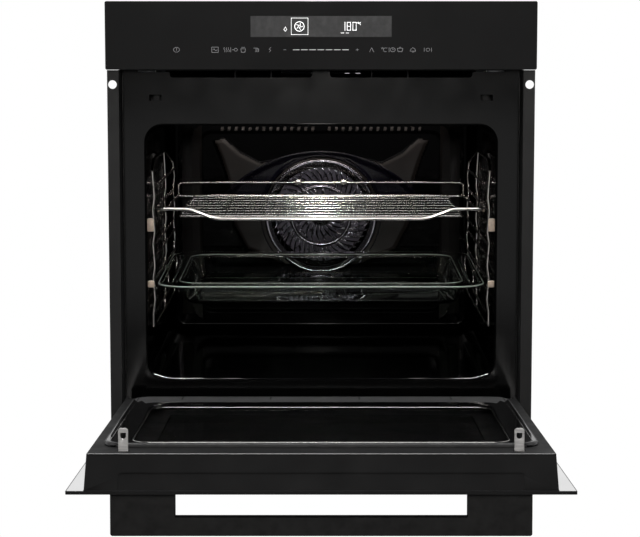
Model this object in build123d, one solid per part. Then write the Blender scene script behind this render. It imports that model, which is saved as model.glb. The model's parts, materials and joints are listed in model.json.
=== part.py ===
from build123d import *
import os

# Built-in combination wall oven for a 600 mm cabinet.  Millimetres, +X right seen from
# the front, +Y into the cabinet, +Z up.  The origin is the middle of the front edge of
# the flat underside: Y = 0 is the cabinet front, Z = 0 the cabinet shelf.

# ---- Driving dimensions ----------------------------------------------------------
FRONT_W = 595.0                      # outer width of panel, door glass and flanges
FRONT_TOP = 595.0
PANEL_BOTTOM = 501.0
FACE_Y = -22.0                       # front face of panel and closed door
DOOR_TOP, DOOR_BOTTOM = 497.0, 13.0
GLASS_T = 4.0
CASE_HALF_W, CASE_DEPTH, CASE_TOP = 279.0, 545.0, 588.0
SHEET = 1.2
COLLAR_HALF_W = 283.0                # recess walls just inside the cabinet opening
FRAME_Y, FRAME_HALF_W = 34.0, 279.4  # front frame around the cavity mouth
CAVITY_HALF_W, CAVITY_LOW, CAVITY_HIGH = 248.0, 59.0, 422.0
CAVITY_BACK, CAVITY_R = 478.0, 25.0
BAFFLE_Y = 440.0
FAN_Z = 254.0
HINGE_X, HINGE_Y, HINGE_Z = 262.5, -2.0, 14.0
OPEN_ANGLE = 87.0                    # the open door stands 3 degrees above level
DOOR_FACE_Y = 23.0                   # inner face of the closed door frame
CHOKE_H = 6.0
HOOK_X, HOOK_Z = 233.5, 460.5
HANDLE_HALF_W, HANDLE_LEG, HANDLE_OUT = 248.2, 76.0, 54.0
HANDLE_LOW, HANDLE_HIGH = 457.0, 472.0
RACK_X, RAIL_X, RACK_WIRE = 240.5, 236.8, 2.2
LEVEL_PITCH, TOP_RAIL, RAIL_GAP = 49.4, 283.6, 17.5
SHELF_Z, SHELF_FRONT, SHELF_BACK = 287.4, 46.0, 420.0
TRAY_Z = 187.1
FLANGE_HOLE_X, FLANGE_HOLE_Z = 290.0, 480.0
PIN_R, FIT = 3.0, 0.05

OUT = "parts"
os.makedirs(OUT, exist_ok=True)
SIDES = (("left", -1), ("right", 1))


# ---- Small shape helpers ---------------------------------------------------------
def box(x, y, z):
    """A box from three (low, high) ranges."""
    size = [high - low for low, high in (x, y, z)]
    mid = [(high + low) / 2 for low, high in (x, y, z)]
    return Pos(*mid) * Box(*size)


def front_slab(sketch, y0, y1):
    """Extrude an X-Z outline from y0 to y1."""
    return extrude(Plane.XZ.offset(-y0) * sketch, -(y1 - y0))


def flat_slab(sketch, z0, z1):
    """Extrude an X-Y outline from z0 to z1."""
    return extrude(Pos(0, 0, z0) * sketch, z1 - z0)


def side_slab(sketch, x0, x1):
    """Extrude a Y-Z outline from x0 to x1."""
    return extrude(Plane.YZ.offset(x0) * sketch, x1 - x0)


def window(half_w, z0, z1, r):
    """A rounded X-Z rectangle centred on X = 0."""
    return Pos(0, (z0 + z1) / 2) * RectangleRounded(2 * half_w, z1 - z0, r)


def along_x(r, x0, x1, y, z):
    return Pos((x0 + x1) / 2, y, z) * Rot(0, 90, 0) * Cylinder(r, x1 - x0)


def along_y(r, y0, y1, x, z):
    return Pos(x, (y0 + y1) / 2, z) * Rot(90, 0, 0) * Cylinder(r, y1 - y0)


def upright(r, z0, z1, x, y):
    return Pos(x, y, (z0 + z1) / 2) * Cylinder(r, z1 - z0)


def rod(points, r):
    """A wire through the points, with ball corners."""
    pieces = []
    for a, b in zip(points, points[1:]):
        start, end = Vector(*a), Vector(*b)
        run = end - start
        plane = Plane(origin=start, z_dir=run)
        pieces.append(extrude(plane * Circle(r), run.length))
    pieces += [Pos(*p) * Sphere(r) for p in points[1:-1]]
    return Part() + pieces


def mirrored(shape):
    return mirror(shape, about=Plane.YZ)


def both_sides(shape):
    return [shape, mirrored(shape)]


def opened(shape):
    """Turn a closed-door piece about the hinge axis to where it rests, open."""
    return shape.rotate(Axis((0, HINGE_Y, HINGE_Z), (1, 0, 0)), OPEN_ANGLE)


def save(name, shapes):
    """Write one node; a list is kept as separate solids."""
    solids = []
    for shape in shapes if isinstance(shapes, list) else [shapes]:
        solids += shape.solids()
    node = Compound(children=solids) if len(solids) > 1 else solids[0]
    node.label = name
    export_step(node, f"{OUT}/{name}.step")


# ---- Control panel ---------------------------------------------------------------
KEY_Z = 528.0
KEY_X = [-199.0] + [s * x for s in (-1, 1) for x in (50.0, 69.7, 89.0, 107.5, 126.3, 146.3)]
BOARD_Y = -8.0


def control_panel():
    half = FRONT_W / 2
    glass = box((-half, half), (FACE_Y, FACE_Y + GLASS_T), (PANEL_BOTTOM, FRONT_TOP))
    save("control_panel_glass", chamfer(glass.edges().filter_by(Axis.Y), 1.5))
    y0 = FACE_Y + GLASS_T
    shell = box((-292, 292), (y0, 0), (504, 592)) - box((-290, 290), (y0 + 2, 0), (506, 590))
    sight = box((-98, 98), (y0, y0 + 2), (544, 576))
    keys = [Pos(x, y0 + 1, KEY_Z) * Box(14, 2, 14) for x in KEY_X]
    save("panel_carrier", shell - sight - keys)
    screen = box((-96, 96), (y0 + 0.2, y0 + 6), (545.5, 574.5))
    save("display_module", screen + box((-100, 100), (y0 + 3, y0 + 8), (541, 578)))
    board = box((-215, 215), (BOARD_Y, BOARD_Y + 1.6), (512, 540))
    chips = [Pos(x, BOARD_Y + 2.8, 524) * Box(14, 2.4, 14) for x in (-150, -40, 90)]
    pads = [along_y(4.5, y0 + 0.1, BOARD_Y, x, KEY_Z) for x in KEY_X]
    save("touch_board", Part() + [board] + chips + pads)


# ---- Fixed front -----------------------------------------------------------------
SLOT_HALF = (8.7, 4.2)
OUTLET_X, OUTLET_Z = (12.2, 213.3), (488.7, 497.0)


def front_frame():
    plate = front_slab(window(FRAME_HALF_W, 3, 520, 3), FRAME_Y, FRAME_Y + 1.5)
    rim = box((FRAME_HALF_W - 1.5, FRAME_HALF_W), (FRAME_Y, 46), (3, 520))
    plate = Part() + [plate] + both_sides(rim)
    mouth = front_slab(window(CAVITY_HALF_W, CAVITY_LOW, CAVITY_HIGH, CAVITY_R), 33, 37)
    cuts = [mouth]
    latch = box((HOOK_X - SLOT_HALF[0], HOOK_X + SLOT_HALF[0]), (33, 37),
                (HOOK_Z - SLOT_HALF[1], HOOK_Z + SLOT_HALF[1]))
    outlet = box(OUTLET_X, (33, 37), OUTLET_Z)
    outlet = fillet(outlet.edges().filter_by(Axis.Y).group_by(Axis.Z)[0], 5)
    slit = box((OUTLET_X[0], 258), (33, 37), (496.8, 498.6))
    hinge = box((HINGE_X - 7.5, HINGE_X + 7.5), (33, 37), (2, 27))
    for cut in (latch, outlet, slit, hinge):
        cuts += both_sides(cut)
    save("front_frame", plate - cuts)
    for name, s in SIDES:
        strip = box((COLLAR_HALF_W - 1.5, FRONT_W / 2), (-1.5, 0), (3, 500))
        wall = box((COLLAR_HALF_W - 1.5, COLLAR_HALF_W), (-1.5, 48), (3, 500))
        foot = box((FRAME_HALF_W + 0.1, COLLAR_HALF_W), (46.5, 48), (3, 500))
        hole = along_y(6, -3, 1, FLANGE_HOLE_X, FLANGE_HOLE_Z)
        flange = strip + wall + foot - hole
        save(f"mounting_flange_{name}", flange if s > 0 else mirrored(flange))


# ---- Outer casing ----------------------------------------------------------------
def casing():
    w, d, top = CASE_HALF_W, CASE_DEPTH, CASE_TOP
    tray = box((-w, w), (0, d), (0, SHEET))
    lips = [box((-w + 3, w - 3), (d - 4 - SHEET, d - 4), (SHEET, 14))]
    save("casing_base", Part() + [tray] + lips)
    for name, s in SIDES:
        wall = box((w - SHEET, w), (50, d), (SHEET, top - SHEET))
        wall += box((w - SHEET, w), (0, 50), (521, top - SHEET))
        vents = [box((w - 3, w + 1), (430 + 14 * i, 436 + 14 * i), (470, 560)) for i in range(6)]
        wall = wall - vents
        save(f"casing_{name}", wall if s > 0 else mirrored(wall))
    lid = box((-w, w), (0, d), (top - SHEET, top))
    louvres = [box((-150, -40), (y, y + 5), (top - 3, top + 1)) for y in range(360, 500, 14)]
    louvres += [box((70, 180), (y, y + 5), (top - 3, top + 1)) for y in range(360, 500, 14)]
    save("casing_top", lid - louvres)
    back = box((-w + 1.5, w - 1.5), (d - SHEET, d), (SHEET, top - SHEET))
    vents = [box((x, x + 8), (d - 3, d + 1), (470, 560)) for x in range(40, 240, 18)]
    outlet = along_y(11, d - 3, d + 1, -210, 500)
    save("casing_back", back - vents - outlet)


# ---- Cavity ----------------------------------------------------------------------
LAMP_X, LAMP_Y = -150.0, 400.0
STIR_X, STIR_Y = 0.0, 405.0
LEG_X, GRILL_Z = 14.0, 415.5
RING_R, HEAT_R = 96.0, 3.5
RING_LEG_Z = FAN_Z - 95.0


def tube_block(half_w, z0, z1, r, y0, y1, back_r):
    """A rounded block along Y whose far edges are rounded too."""
    block = front_slab(window(half_w, z0, z1, r), y0, y1)
    return fillet(block.edges().group_by(Axis.Y)[-1], back_r)


def cavity():
    t = SHEET
    y0 = FRAME_Y + 1.5
    outer = tube_block(CAVITY_HALF_W + t, CAVITY_LOW - t, CAVITY_HIGH + t, CAVITY_R + t,
                       y0, CAVITY_BACK + t, 12 + t)
    inner = tube_block(CAVITY_HALF_W, CAVITY_LOW, CAVITY_HIGH, CAVITY_R,
                       y0 - 1, CAVITY_BACK, 12)
    ports = [along_y(7, CAVITY_BACK - 3, CAVITY_BACK + 4, 0, FAN_Z)]
    for z in (RING_LEG_Z, GRILL_Z):
        for x in (-LEG_X, LEG_X):
            ports.append(along_y(4.2, CAVITY_BACK - 8, CAVITY_BACK + 4, x, z))
    ports.append(upright(18, CAVITY_HIGH - 3, CAVITY_HIGH + 4, LAMP_X, LAMP_Y))
    ports.append(upright(32, CAVITY_HIGH - 3, CAVITY_HIGH + 4, STIR_X, STIR_Y))
    save("cavity_shell", outer - inner - ports)


def star_outline():
    """The embossed four-cornered shape round the fan: two upper horns, rounded below."""
    left_low, right_low = (-122, 197), (122, 197)
    upper = ThreePointArc((-99, 339), (0, 358), (99, 339))
    lower = ThreePointArc(left_low, (0, 168), right_low)
    left = Polyline((-99, 339), (-132, 357), (-158, 381), (-176, 376), (-163, 342),
                    (-148, 294), (-144, 238), left_low)
    right = Polyline((99, 339), (132, 357), (158, 381), (176, 376), (163, 342),
                     (148, 294), (144, 238), right_low)
    return make_face([upper, lower, left, right])


def rear_baffle():
    low, high, half = 82.0, 405.0, 210.0
    face = front_slab(window(half, low, high, CAVITY_R), BAFFLE_Y, BAFFLE_Y + SHEET)
    skirt = front_slab(window(half, low, high, CAVITY_R), BAFFLE_Y, CAVITY_BACK - 0.3)
    skirt -= front_slab(window(half - SHEET, low + SHEET, high - SHEET, CAVITY_R - SHEET),
                        BAFFLE_Y - 1, CAVITY_BACK)
    border = front_slab(window(half - 4, low + 4, high - 4, CAVITY_R - 4), BAFFLE_Y - 3, BAFFLE_Y)
    border -= front_slab(window(half - 17, low + 17, high - 17, 14), BAFFLE_Y - 4, BAFFLE_Y + 1)
    star = front_slab(star_outline(), BAFFLE_Y - 4, BAFFLE_Y)
    plate = face + skirt + star
    cuts = [along_y(84, BAFFLE_Y - 6, BAFFLE_Y + 3, 0, FAN_Z)]
    for i in range(14):
        for s in (-1, 1):
            cuts.append(Pos(s * (13.5 + 11.3 * i), BAFFLE_Y, 396) * Box(4.5, 6, 8))
    return plate - cuts


def fan_guard():
    """A shallow round grille with two rings of raked slots."""
    y0 = BAFFLE_Y - 5.5
    disc = along_y(90, y0, BAFFLE_Y - 4, 0, FAN_Z)
    rim = along_y(92, y0 - 1.5, BAFFLE_Y - 4, 0, FAN_Z) - along_y(87, y0 - 3, BAFFLE_Y, 0, FAN_Z)
    slots = []
    for count, mid, length, rake in ((14, 34, 22, 20), (28, 65, 28, 24)):
        for i in range(count):
            a = 360 * i / count
            slot = Rot(0, 0, a) * Pos(mid, 0) * Rot(0, 0, rake) * SlotOverall(length, 4.6)
            slots.append(front_slab(Pos(0, FAN_Z) * slot, y0 - 3, BAFFLE_Y + 2))
    return disc + rim - slots


def heaters():
    ring = Pos(0, 458, FAN_Z) * Rot(90, 0, 0) * Torus(RING_R, HEAT_R)
    legs = [along_y(HEAT_R, 458, 492, x, RING_LEG_Z) for x in (-LEG_X, LEG_X)]
    save("ring_heater", Part() + [ring] + legs)
    plan = [(-LEG_X, 492), (-LEG_X, 270), (-60, 270), (-60, 365), (-110, 365), (-110, 270),
            (-165, 270), (-165, 236), (0, 236)]
    left = rod([(x, y, GRILL_Z) for x, y in plan], HEAT_R)
    save("grill_element", left + mirrored(left))


def lamp():
    lens = upright(24, CAVITY_HIGH - 3.5, CAVITY_HIGH - 0.2, LAMP_X, LAMP_Y)
    save("lamp_lens", fillet(lens.edges().group_by(Axis.Z)[0], 2))
    z0 = CAVITY_HIGH + SHEET
    can = upright(23, z0, z0 + 38, LAMP_X, LAMP_Y) - upright(18, z0 - 1, z0 + 30, LAMP_X, LAMP_Y)
    save("lamp_holder", can)
    tip = Pos(LAMP_X, LAMP_Y, z0 + 6) * Sphere(5)
    save("lamp_bulb", upright(5, z0 + 6, z0 + 30, LAMP_X, LAMP_Y) + tip)


# ---- Racks, shelf and tray -------------------------------------------------------
RACK_Y = (50.0, 250.0, 424.0)


def side_rack():
    """The right rack: three uprights and a pair of rails for each level."""
    tops = (355.0, 371.0, 343.0)
    low = TOP_RAIL - 3 * LEVEL_PITCH - 12
    wires = [upright(RACK_WIRE, low, top, RACK_X, y) for y, top in zip(RACK_Y, tops)]
    heights = [TOP_RAIL + LEVEL_PITCH]
    for level in range(4):
        z = TOP_RAIL - level * LEVEL_PITCH
        heights += [z, z + RAIL_GAP]
    for z in heights:
        path = [(RACK_X, RACK_Y[0] - 2, z), (RAIL_X, 64, z), (RAIL_X, 412, z), (RACK_X, 426, z)]
        wires.append(rod(path, 2.0))
    top = [(RACK_X, RACK_Y[0], tops[0]), (RACK_X, 70, tops[1]), (RACK_X, RACK_Y[1], tops[1]),
           (RACK_X, RACK_Y[2], tops[2])]
    wires.append(rod(top, RACK_WIRE))
    wires += [Pos(*p) * Sphere(RACK_WIRE) for p in (top[0], top[-1])]
    return Part() + wires


def rack_bushes():
    """Ceramic blocks that clip each front upright and stand it off the cavity wall."""
    blocks = []
    rail_groove = box((RAIL_X - 4, RACK_X + 4), (43, 57), (TOP_RAIL - 2.4, TOP_RAIL + 2.4))
    for z0, z1 in ((268.5, 293.5), (189, 200)):
        block = box((RAIL_X + 0.4, CAVITY_HALF_W - 0.2), (44, 56), (z0, z1))
        block = fillet(block.edges().filter_by(Axis.Z), 2)
        block -= upright(RACK_WIRE + FIT, z0 - 1, z1 + 1, RACK_X, RACK_Y[0])
        blocks.append(block - rail_groove)
    return blocks + [mirrored(b) for b in blocks]


SHELF_HALF_W, SHELF_INNER, SHELF_BAR_X, CROSS_R = 233.0, 205.0, 140.0, 1.7
EAR_TOP, GUARD_H, CROSS_WIRES = 301.5, 22.0, 8


def wire_shelf():
    """Outline wire with raised ears, eight cross wires on two bars, and a rear guard."""
    z, front, back, side = SHELF_Z, SHELF_FRONT, SHELF_BACK, SHELF_HALF_W
    half = [(0, front, z), (150, front, z), (187, front, EAR_TOP), (side - 3, front, EAR_TOP),
            (side, front + 4, EAR_TOP), (side, front + 26, z), (side, back, z), (0, back, z)]
    outline = rod(half, 2.6)
    pitch = (back - front) / (CROSS_WIRES + 1)
    first, inner = front + pitch, SHELF_INNER
    wires = [outline, mirrored(outline)]
    wires.append(rod([(-inner, back, z), (-inner, first, z), (inner, first, z),
                      (inner, back, z)], 1.9))
    for i in range(2, CROSS_WIRES + 1):
        wires.append(along_x(CROSS_R, -inner, inner, front + pitch * i, z))
    bar = rod([(SHELF_BAR_X, front, z - 0.6), (SHELF_BAR_X, back, z - 0.6)], 1.6)
    wires += both_sides(bar)
    reach, top = side - 2, z + GUARD_H
    wires.append(rod([(-reach, back, z), (-reach, back, top), (reach, back, top),
                      (reach, back, z)], 1.9))
    wires += [box((x - 5, x + 5), (back - 2.5, back + 0.5), (z + 18, z + 26)) for x in (-37, 37)]
    return Part() + wires


def glass_tray():
    y0, y1 = 44.0, 400.0
    mid = (y0 + y1) / 2

    def outline(half_w, inset, r):
        return Pos(0, mid) * RectangleRounded(2 * half_w, y1 - y0 - 2 * inset, r)

    rim = flat_slab(outline(236, 0, 40), TRAY_Z, TRAY_Z + 4)
    def bowl(grow, depth):
        top = Pos(0, 0, TRAY_Z + 4) * outline(206 + grow, 24 - grow, 36 + grow)
        bottom = Pos(0, 0, TRAY_Z + 4 - depth) * outline(196 + grow, 34 - grow, 28 + grow)
        return loft([bottom, top])
    return fillet((rim + bowl(4, 33)).edges().group_by(Axis.Z)[0], 2) - bowl(0, 29)


# ---- Latches ---------------------------------------------------------------------
LEVER_PIVOT = (53.0, 450.0)


def latches():
    """A steel case behind each slot with a switch lever that the hook pushes past."""
    x0, x1 = HOOK_X - 12, HOOK_X + 12
    case = box((x0, x1), (36, 80), (443, 478)) - box((x0 + 1.5, x1 - 1.5), (35, 78), (444.5, 476.5))
    y, z = LEVER_PIVOT
    bore = along_x(2.05, x0 - 1, x1 + 1, y, z)
    lever = along_x(4, x0 + 4, x1 - 4, y, z)
    lever += box((HOOK_X - 4, HOOK_X + 4), (y - 2, y + 1), (z, 470))
    lever += along_x(2, x0 + 0.2, x1 - 0.2, y, z)
    for name, s in SIDES:
        shapes = {"latch_case": case - bore, "latch_lever": lever}
        for node, shape in shapes.items():
            save(f"{node}_{name}", shape if s > 0 else mirrored(shape))


# ---- Air path, microwave source and boards above the cavity ----------------------
def fan_and_motor():
    hub = along_y(11, 447, 472, 0, FAN_Z)
    disc = along_y(76, 470, 471.5, 0, FAN_Z)
    blades = []
    for i in range(12):
        blade = Pos(52, 0) * Rot(0, 0, 18) * Rectangle(46, 1.6)
        blades.append(front_slab(Pos(0, FAN_Z) * Rot(0, 0, 30 * i) * blade, 449, 471))
    shaft = along_y(4, 445, 514, 0, FAN_Z)
    save("convection_fan", Part() + [hub, disc, shaft] + blades)
    body = along_y(38, 484, 520, 0, FAN_Z)
    feet = box((-56, 56), (482.5, 485), (FAN_Z - 12, FAN_Z + 12))
    save("fan_motor", body + feet - along_y(4 + FIT, 480, 515, 0, FAN_Z))


WHEEL_Y, WHEEL_Z, WHEEL_R = 382.0, 536.0, 34.0


def cooling_blower():
    y, z = WHEEL_Y, WHEEL_Z
    case = box((-62, 62), (y - 45, y + 45), (488, 584))
    case -= box((-60.5, 60.5), (y - 43.5, y + 43.5), (489.5, 582.5))
    case -= box((-60.5, 60.5), (y - 47, y - 40), (489.5, 508))
    case -= along_x(28, -64, 64, y, z)
    spokes = [box((x0, x0 + 1.5), (y - 30, y + 30), (z - 4, z + 4)) for x0 in (-62, 60.5)]
    case = Part() + [case] + spokes - along_x(3 + FIT, -64, 64, y, z)
    save("blower_case", case)
    drum = [along_x(WHEEL_R, x, x + 1.5, y, z) for x in (-55, -0.75, 53.5)]
    vanes = []
    for i in range(16):
        vane = Rot(0, 0, 22.5 * i) * Pos(29, 0) * Rot(0, 0, 30) * Rectangle(9, 1.2)
        vanes.append(side_slab(Pos(y, z) * vane, -55, 55))
    save("blower_wheel", Part() + drum + vanes + [along_x(3, -66, 92, y, z)])
    motor = along_x(24, 66, 104, y, z) - along_x(3 + FIT, 60, 94, y, z)
    save("blower_motor", motor + box((66, 104), (y - 20, y + 20), (z - 44, z - 22)))
    outline = Polygon((-218, 36), (218, 36), (218, 90), (64, 336), (-64, 336), (-218, 90),
                      align=None)
    hollow = Polygon((-216.5, 30), (216.5, 30), (216.5, 89.6), (62.5, 335.6), (62.5, 340),
                     (-62.5, 340), (-62.5, 335.6), (-216.5, 89.6), align=None)
    duct = flat_slab(outline, 486.4, 512) - flat_slab(hollow, 487.6, 510.8)
    ribs = [box((x, x + 1.2), (37, 80), (487.6, 510.8)) for x in (-122, -71, 71, 122)]
    save("air_duct", Part() + [duct] + ribs)


TUBE_X = 202.0


def microwave_source():
    z0 = CAVITY_HIGH + SHEET
    guide = box((-50, 247), (355, 455), (z0, z0 + 32))
    guide -= box((-48.8, 245.8), (356.2, 453.8), (z0 + 1.2, z0 + 30.8))
    guide -= upright(32, z0 - 1, z0 + 2, STIR_X, STIR_Y)
    guide -= upright(3 + FIT, z0 + 20, z0 + 40, STIR_X, STIR_Y)
    guide -= upright(8, z0 + 25, z0 + 40, TUBE_X, STIR_Y)
    save("waveguide", guide)
    half, y_range = 43, (358, 452)
    yoke = box((TUBE_X - half, TUBE_X + half), y_range, (460, 554))
    yoke -= box((TUBE_X - half + 2, TUBE_X + half - 2), (350, 460), (462, 552))
    inner = (TUBE_X - half + 2, TUBE_X + half - 2)
    fins = [box(inner, y_range, (z, z + 1)) for z in range(476, 548, 8)]
    body = upright(22, z0 + 33, 552, TUBE_X, STIR_Y)
    antenna = upright(7, z0 + 8, z0 + 36, TUBE_X, STIR_Y)
    save("magnetron", Part() + [body, yoke, antenna] + fins)
    hub = upright(6, z0 + 6, z0 + 24, STIR_X, STIR_Y)
    arm = Pos(STIR_X, STIR_Y, z0 + 14) * Box(60, 14, 1.5)
    vanes = [Pos(STIR_X + s * 22, STIR_Y, z0 + 14) * Rot(30, 0, 0) * Box(14, 34, 1.5)
             for s in (-1, 1)]
    stem = upright(3, z0 + 6, z0 + 46, STIR_X, STIR_Y)
    save("mode_stirrer", Part() + [hub, arm, stem] + vanes)
    motor = upright(20, z0 + 32.5, z0 + 52, STIR_X, STIR_Y)
    motor -= upright(3 + FIT, z0 + 30, z0 + 48, STIR_X, STIR_Y)
    save("stirrer_motor", motor)
    cover = upright(40, CAVITY_HIGH - 2.4, CAVITY_HIGH - 0.2, STIR_X, STIR_Y)
    save("stirrer_cover", cover)


def electrics():
    plate = box((-277, 277), (90, 345), (443, 444.2))
    save("component_plate", plate)
    board = box((-262, -112), (110, 320), (452, 453.6))
    posts = [upright(3, 444.2, 452, x, y) for x in (-256, -118) for y in (116, 314)]
    lumps = [box((-250, -200), (130, 190), (453.6, 482))]
    lumps += [box((-180, -130), (220, 250), (453.6, 478))]
    lumps += [upright(12, 453.6, 480, -150, y) for y in (135, 165)]
    lumps += [box((-250, -215), (230 + 9 * i, 234 + 9 * i), (453.6, 480)) for i in range(6)]
    save("power_board", Part() + [board] + posts + lumps)
    block = box((-240, -180), (505, CASE_DEPTH - SHEET), (515, 540))
    block -= [along_y(4, 500, 520, x, 528) for x in (-225, -210, -195)]
    save("mains_terminal", block)


def insulation():
    """A mineral-wool blanket under and beside the cavity."""
    gap = 1.4
    bed = box((-CASE_HALF_W + 2, CASE_HALF_W - 2), (52, 479), (32, 440))
    hollow = window(CAVITY_HALF_W + gap, CAVITY_LOW - gap, CAVITY_HIGH + 40, CAVITY_R + gap)
    save("insulation_wrap", bed - front_slab(hollow, 51, 480))


# ---- Hinges ----------------------------------------------------------------------
def hinges():
    y, z, x = HINGE_Y, HINGE_Z, HINGE_X
    cheek = Pos(y, z) * Circle(6.5)
    cheek += Pos((y + 140) / 2, z + 1) * Rectangle(140 - y, 12)
    cheeks = [side_slab(cheek, x - 6, x - 4.5), side_slab(cheek, x + 4.5, x + 6)]
    web = box((x - 6, x + 6), (40, 140), (z - 6.5, z - 5))
    bracket = Part() + cheeks + [web] - along_x(PIN_R, x - 8, x + 8, y, z)
    pin = along_x(PIN_R, x - 6.5, x + 6.5, y, z)
    eye = along_x(6, x - 3, x + 3, y, z)
    blade = box((x - 3, x + 3), (y - 4, y + 5), (z, z + 120))
    arm = eye + blade - along_x(PIN_R + FIT, x - 8, x + 8, y, z)
    for name, s in SIDES:
        save(f"hinge_bracket_{name}", bracket if s > 0 else mirrored(bracket))
        save(f"hinge_arm_{name}", opened(arm if s > 0 else mirrored(arm)))
    save("hinge_pins", [pin, mirrored(pin)])
    coil = Helix(pitch=5, height=60, radius=3)
    wire = Plane(origin=coil @ 0, z_dir=coil % 0) * Circle(0.8)
    spring = Pos(x, 60, z + 1) * Rot(-90, 0, 0) * sweep(wire, path=coil, is_frenet=True)
    save("hinge_springs", [spring, mirrored(spring)])


# ---- Door, modelled closed and turned open ---------------------------------------
FRAME_BASE_Y = FACE_Y + GLASS_T
DOOR_HALF_W = 276.5
FRAME_TOP, FRAME_SLOPE = 493.0, 12.0


def door_frame():
    """Sheet-metal tub: sloping end and sides, flat inner face, open towards the glass."""
    y0 = FRAME_BASE_Y

    def tub(inset, y_face):
        low, high = DOOR_BOTTOM + inset, FRAME_TOP - inset
        profile = Polygon((y0, low), (y_face, low), (y_face, high - FRAME_SLOPE), (y0, high),
                          align=None)
        half = DOOR_HALF_W - inset
        plan = Polygon((-half, y0), (half, y0), (half - 2, y_face), (2 - half, y_face), align=None)
        return side_slab(profile, -half, half) & flat_slab(plan, low - 5, high + 5)

    shell = tub(0, DOOR_FACE_Y)
    slope = FRAME_SLOPE / (DOOR_FACE_Y - y0)
    panel = Polygon((y0 - 1, FRAME_TOP + slope - 0.8), (y0 + 20, FRAME_TOP - 20 * slope - 0.8),
                    (y0 + 20, FRAME_TOP + 5), (y0 - 1, FRAME_TOP + 5), align=None)
    panel = side_slab(panel, -237, 237)
    panel = fillet(panel.edges().filter_by(Axis.Z).group_by(Axis.Y)[-1], 4)
    inside = tub(2, DOOR_FACE_Y - 2)
    opening = front_slab(window(232, 100, 436, 20), 10, 30)
    slot = box((HOOK_X - 7.5, HOOK_X + 7.5), (10, 30), (HOOK_Z - 3, HOOK_Z + 3))
    notch = box((HINGE_X - 8.5, HINGE_X + 8.5), (-15, 30), (5, 30))
    cuts = [inside, opening, panel] + both_sides(slot) + both_sides(notch)
    return shell - cuts


def door_panes():
    half = FRONT_W / 2
    outer = box((-half, half), (FACE_Y, FRAME_BASE_Y), (DOOR_BOTTOM, DOOR_TOP))
    outer = chamfer(outer.edges().filter_by(Axis.Y), 1.5)
    screws = [along_y(2.6, FACE_Y - 1, FRAME_BASE_Y + 1, s * x, (HANDLE_LOW + HANDLE_HIGH) / 2)
              for s in (-1, 1) for x in (190, 230)]
    save("door_outer_glass", opened(outer - screws))
    middle = front_slab(window(240, 95, 450, 8), 3, 7)
    save("door_middle_glass", opened(middle))
    screen = front_slab(window(240, 95, 438, 20), 19.4, 20.6)
    save("perforated_screen", opened(screen))
    inner = front_slab(window(225.8, 150.2, 431.8, 21.8), 24.5, 28.4)
    save("door_inner_glass", opened(inner))


def choke_cover():
    y0, y1 = DOOR_FACE_Y + 0.2, DOOR_FACE_Y + CHOKE_H
    body = front_slab(window(262, 46, 440, 30), y0, y1)
    body = fillet(body.edges().group_by(Axis.Y)[-1], 4.5)
    body -= front_slab(window(226, 150, 432, 22), y0 - 1, y1 + 1)
    well = front_slab(window(256, 52, 434, 24), y0 - 1, y1 - 2.5)
    ledge = front_slab(window(230, 146, 436, 26), y0, y1 - 2.5)
    ledge -= front_slab(window(218, 158, 424, 16), y0 - 1, y1)
    ledge -= front_slab(window(226, 150, 432, 22), 24.3, y1)
    return body - (well - front_slab(window(230, 146, 436, 26), y0 - 2, y1)) + ledge


def handle():
    half, leg = HANDLE_HALF_W, HANDLE_LEG
    y_out = FACE_Y - HANDLE_OUT
    bar = box((-half, half), (y_out, y_out + 22), (HANDLE_LOW, HANDLE_HIGH))
    legs = both_sides(box((half - leg, half), (y_out, FACE_Y), (HANDLE_LOW, HANDLE_HIGH)))
    grip = Part() + [bar] + legs
    grip = fillet(grip.edges().filter_by(Axis.Z).group_by(Axis.Y)[0], 3)
    mid_z = (HANDLE_LOW + HANDLE_HIGH) / 2
    holes = [along_y(2.1, FACE_Y - 16, FACE_Y + 1, s * x, mid_z) for s in (-1, 1) for x in (190, 230)]
    save("handle", opened(grip - holes))
    screws = []
    for s in (-1, 1):
        for x in (190, 230):
            shank = along_y(2.1, FACE_Y - 15, FRAME_BASE_Y, s * x, mid_z)
            screws.append(opened(shank + along_y(4, FRAME_BASE_Y, FRAME_BASE_Y + 2.4, s * x, mid_z)))
    save("handle_screws", screws)


def latch_hook():
    """A flat steel hook with an eye, standing out of the door's inner face."""
    y0, y1 = 8.0, DOOR_FACE_Y + 27
    plate = box((HOOK_X - 5.9, HOOK_X + 5.9), (y0, y1), (HOOK_Z - 1.2, HOOK_Z + 1.2))
    plate = chamfer(plate.edges().filter_by(Axis.Z).group_by(Axis.Y)[-1], 2.2)
    foot = box((HOOK_X - 14, HOOK_X + 14), (18.6, 20.8), (HOOK_Z - 8, HOOK_Z + 8))
    eye = Pos(HOOK_X, y1 - 7.5, HOOK_Z) * Box(6.5, 4, 6)
    eye += upright(3.25, HOOK_Z - 3, HOOK_Z + 3, HOOK_X, y1 - 9.5)
    return plate + foot - eye


def door():
    save("door_frame", opened(door_frame()))
    door_panes()
    save("choke_cover", opened(choke_cover()))
    handle()
    hook = latch_hook()
    save("latch_hooks", [opened(hook), opened(mirrored(hook))])


# ---- Fasteners -------------------------------------------------------------------
def screw_head(x, y, z, r=3.6):
    """A pan head against a face that looks towards -Y."""
    head = along_y(r, y - 2, y, x, z)
    return fillet(head.edges().group_by(Axis.Y)[0], 0.8) - (Pos(x, y - 2, z) * Box(r, 1.4, 0.9))


def fasteners():
    save("baffle_screws", [screw_head(s * 199.5, BAFFLE_Y, z) for s in (-1, 1) for z in (132, 355)])


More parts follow.
